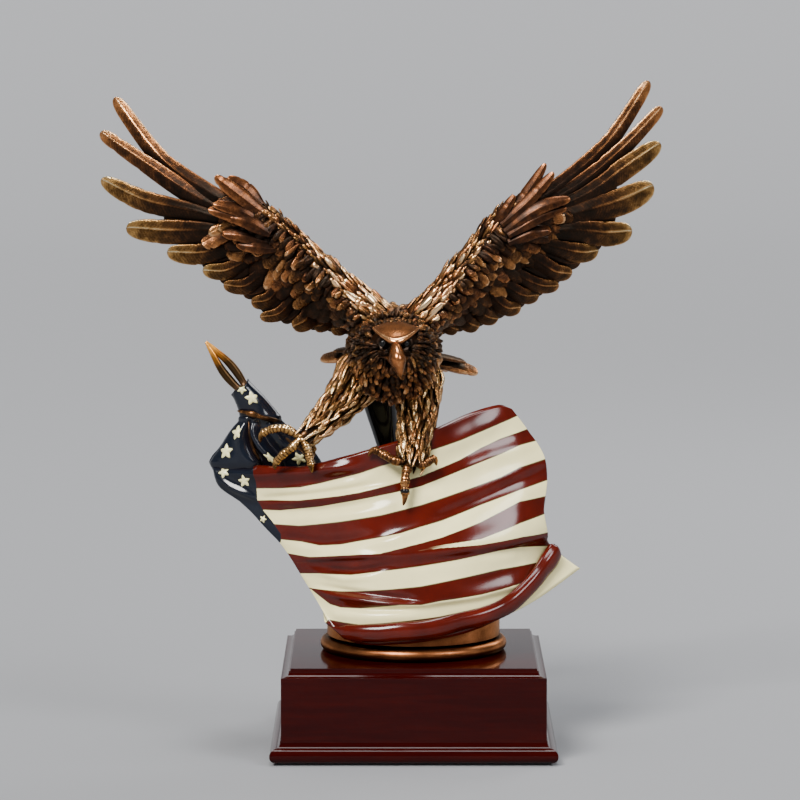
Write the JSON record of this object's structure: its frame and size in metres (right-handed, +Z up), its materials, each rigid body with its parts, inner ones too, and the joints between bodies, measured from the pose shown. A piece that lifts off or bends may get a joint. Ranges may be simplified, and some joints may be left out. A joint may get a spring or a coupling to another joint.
{
  "type": "eagle and flag statuette",
  "caption": "Bronze-finished eagle landing with raised wings on a draped striped and starred flag, over a round copper pedestal and a square lacquered wood base.",
  "frame": {"origin": "centre of the felt under the square base, on the surface that the statuette stands on", "axes": "+Z up; -Y is the front that the eagle faces; +X is to the right for someone who looks at the front"},
  "size_m": [0.326, 0.1986, 0.3835],
  "materials": {
    "bronze": "dark brown patina rubbed back to copper on the high spots, satin lacquer",
    "copper": "satin antiqued copper",
    "staff_bronze": "gilt bronze with darkened recesses",
    "flag_enamel": "glossy painted red and cream stripes",
    "canton_enamel": "glossy painted navy with cream stars",
    "black_gloss": "gloss black paint",
    "eye_gloss": "polished black",
    "lacquered_wood": "dark red mahogany under gloss lacquer",
    "raw_wood": "unfinished",
    "steel": "zinc plated",
    "felt": "black wool felt"
  },
  "bodies": {
    "root": {"felt_pad": "felt", "base_plate": "raw_wood", "base_screws": "steel", "foot_moulding_front": "lacquered_wood", "foot_moulding_back": "lacquered_wood", "foot_moulding_left": "lacquered_wood", "foot_moulding_right": "lacquered_wood", "front_panel": "lacquered_wood", "back_panel": "lacquered_wood", "left_panel": "lacquered_wood", "right_panel": "lacquered_wood", "glue_blocks": "raw_wood", "top_board": "lacquered_wood", "threaded_rod": "steel", "rod_washer": "steel", "rod_nut": "steel", "pedestal_ring": "copper", "pedestal_drum": "copper", "support_post": "black_gloss", "flag_panel": "flag_enamel", "flag_gather": "canton_enamel", "flag_staff": "staff_bronze", "finial": "staff_bronze", "finial_collar": "staff_bronze", "eagle_torso": "bronze", "eagle_head": "bronze", "eagle_eyes": "eye_gloss", "right_wing": "bronze", "left_wing": "bronze", "right_leg": "bronze", "left_leg": "bronze", "tail": "bronze", "wing_dowels": "steel", "leg_dowels": "steel", "tail_dowel": "steel", "head_dowel": "steel"}
  },
  "joints": []
}
